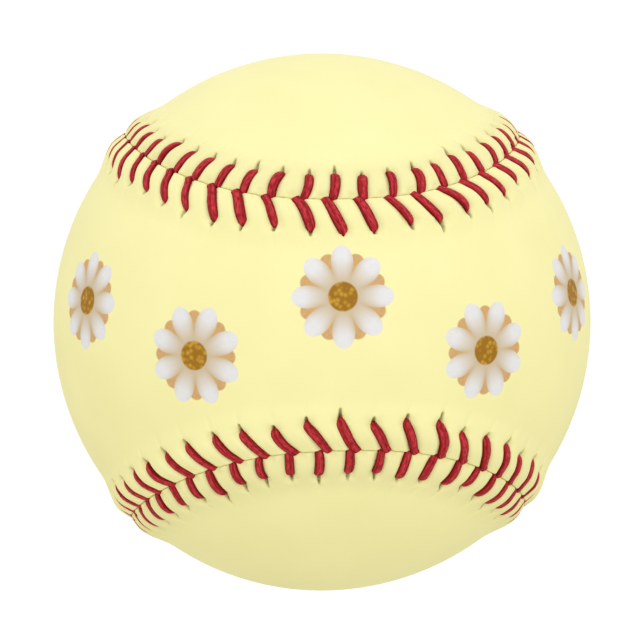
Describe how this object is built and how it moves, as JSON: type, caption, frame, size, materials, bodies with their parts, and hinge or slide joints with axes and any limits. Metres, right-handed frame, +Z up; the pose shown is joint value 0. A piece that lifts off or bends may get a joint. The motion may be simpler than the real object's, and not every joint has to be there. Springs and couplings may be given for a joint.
{
  "type": "baseball",
  "caption": "Leather-covered ball with a raised, red-stitched seam, wound yarn layers and a cushioned cork centre.",
  "frame": {"origin": "centre of the ball", "axes": "+Z up, through the middle of the back cover's upper round end; -Y out of the middle of the front cover's waist, which runs along X"},
  "size_m": [0.0738, 0.0734, 0.0736],
  "materials": {
    "leather": "smooth pale yellow dyed leather, satin",
    "seam_thread": "red waxed thread",
    "cork": "ground cork, dull",
    "black_rubber": "moulded rubber, dull",
    "red_rubber": "moulded rubber, dull",
    "grey_wool": "wound wool yarn",
    "white_wool": "wound wool yarn",
    "finishing_yarn": "fine wound cotton yarn"
  },
  "bodies": {
    "root": {"front_cover": "leather", "back_cover": "leather", "first_needle_thread": "seam_thread", "second_needle_thread": "seam_thread", "cork_core": "cork", "black_rubber_shell_upper": "black_rubber", "black_rubber_shell_lower": "black_rubber", "rubber_gasket": "red_rubber", "red_rubber_shell_right": "red_rubber", "red_rubber_shell_left": "red_rubber", "inner_grey_winding": "grey_wool", "white_winding": "white_wool", "outer_grey_winding": "grey_wool", "finishing_winding": "finishing_yarn"}
  },
  "joints": []
}
